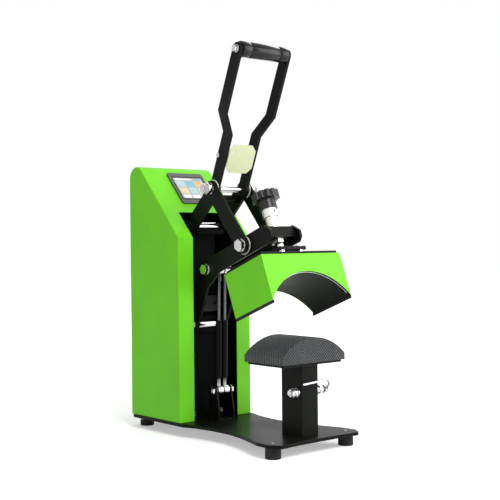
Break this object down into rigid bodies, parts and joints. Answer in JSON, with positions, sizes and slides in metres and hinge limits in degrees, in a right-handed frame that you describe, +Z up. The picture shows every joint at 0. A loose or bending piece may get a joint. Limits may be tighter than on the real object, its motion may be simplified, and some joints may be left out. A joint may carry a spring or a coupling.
{
  "type": "cap heat press",
  "caption": "Toggle-lever heat press with a curved heated platen over an arched cap form, and a sloping control housing on a base plate.",
  "frame": {"origin": "centre of the bounding box in plan, on the plane under the feet", "axes": "+X to the right seen from the front, +Y from the form at the front to the housing at the back, +Z up"},
  "size_m": [0.2076, 0.4555, 0.7133],
  "materials": {
    "black_paint": "satin powder coat",
    "green_paint": "satin powder coat",
    "bright_steel": "bright zinc or chrome plate",
    "steel": "turned steel",
    "aluminium": "machined",
    "rubber": "matt moulded rubber",
    "nylon": "turned nylon",
    "silicone": "textured silicone",
    "grip_rubber": "smooth hard rubber",
    "black_plastic": "moulded",
    "knob_plastic": "moulded",
    "red_plastic": "moulded",
    "screen": "lit display",
    "board": "printed circuit board",
    "brass": "turned",
    "badge_steel": "brushed",
    "insulation": "woven glass and board",
    "heater": "oxidised sheath"
  },
  "bodies": {
    "base": {"base_plate": "black_paint", "rubber_feet": "rubber", "foot_screws": "steel", "housing_shell": "green_paint", "slot_channel": "black_paint", "housing_screws": "steel", "screen_bezel": "black_plastic", "screen_panel": "screen", "controller_board": "board", "board_spacers": "brass", "power_inlet": "black_plastic", "switch_frame": "black_plastic", "solid_state_relay": "black_plastic", "power_board": "board", "column": "black_paint", "column_bolts": "steel", "handle_bearing": "bright_steel", "arm_bearing": "bright_steel", "stop_block": "rubber", "lower_axle_bracket": "black_paint", "lower_axle": "bright_steel", "form_post": "black_paint", "form_plate": "black_paint", "lower_form": "aluminium", "form_pad": "silicone", "clamp_shaft": "steel", "clamp_nuts": "bright_steel"},
    "rocker": {"switch_rocker": "red_plastic"},
    "handle": {"handle_shaft": "bright_steel", "lever_left": "black_paint", "lever_right": "black_paint", "grip": "grip_rubber", "grip_rod": "bright_steel", "lever_spacer": "black_paint", "toggle_shaft": "bright_steel", "badge_plate": "badge_steel", "badge_screws": "bright_steel"},
    "links": {"link_left": "black_paint", "link_right": "black_paint", "slip_washers": "nylon", "link_bolts": "bright_steel"},
    "arm": {"arm_shaft": "bright_steel", "arm_left": "black_paint", "arm_right": "black_paint", "cross_bar": "black_paint", "gas_spring_axle": "bright_steel", "screw_bush": "steel"},
    "knob": {"pressure_knob": "knob_plastic", "pressure_screw": "steel", "screw_collar": "steel"},
    "platen": {"carrier_plate": "black_paint", "platen_studs": "bright_steel", "platen_top_plate": "black_paint", "platen_cover": "green_paint", "insulation": "insulation", "heating_block": "aluminium", "heating_element": "heater"},
    "spring_cylinders": {"gas_spring_cylinders": "black_paint"},
    "spring_rods": {"gas_spring_rods": "bright_steel"},
    "bail": {"clamp_bail": "bright_steel"}
  },
  "joints": [
    {"name": "handle_swing", "type": "hinge", "parent": "base", "child": "handle", "pos_m": [0, 0.083, 0.39], "axis": [1, 0, 0], "range_deg": [0, 52.46]},
    {"name": "arm_swing", "type": "hinge", "parent": "base", "child": "arm", "pos_m": [0, 0.08, 0.204], "axis": [1, 0, 0], "range_deg": [0, 21.5]},
    {"name": "link_swing", "type": "hinge", "parent": "handle", "child": "links", "pos_m": [0, 0.0125, 0.458], "axis": [1, 0, 0], "range_deg": [-63.21, 0]},
    {"name": "spring_tilt", "type": "hinge", "parent": "base", "child": "spring_cylinders", "pos_m": [0, 0.041, 0.081], "axis": [1, 0, 0], "range_deg": [0, 10.01]},
    {"name": "spring_slide", "type": "slide", "parent": "spring_cylinders", "child": "spring_rods", "axis": [0, -0.0227, 0.9997], "range_m": [-0.01933, 0]},
    {"name": "knob_turn", "type": "hinge", "parent": "arm", "child": "knob", "pos_m": [0, -0.09812, 0.41805], "axis": [0, 0.3584, 0.9336], "range_deg": [0, 1442]},
    {"name": "platen_slide", "type": "slide", "parent": "arm", "child": "platen", "axis": [0, -0.3584, -0.9336], "range_m": [0, 0.006]},
    {"name": "bail_swing", "type": "hinge", "parent": "base", "child": "bail", "pos_m": [0.044, -0.19, 0.1025], "axis": [1, 0, 0], "range_deg": [0, 70]},
    {"name": "rocker_tip", "type": "hinge", "parent": "base", "child": "rocker", "pos_m": [0.02, 0.2095, 0.071], "axis": [1, 0, 0], "range_deg": [0, 14]}
  ],
  "couplings": [
    {"joint": "arm_swing", "follows": "handle_swing", "ratio": 0.40031},
    {"joint": "link_swing", "follows": "handle_swing", "ratio": -1.1954},
    {"joint": "spring_tilt", "follows": "handle_swing", "ratio": 0.18515},
    {"joint": "spring_slide", "follows": "handle_swing", "m_per_rad": -0.020788},
    {"joint": "knob_turn", "follows": "platen_slide", "rad_per_m": 4188.8}
  ]
}
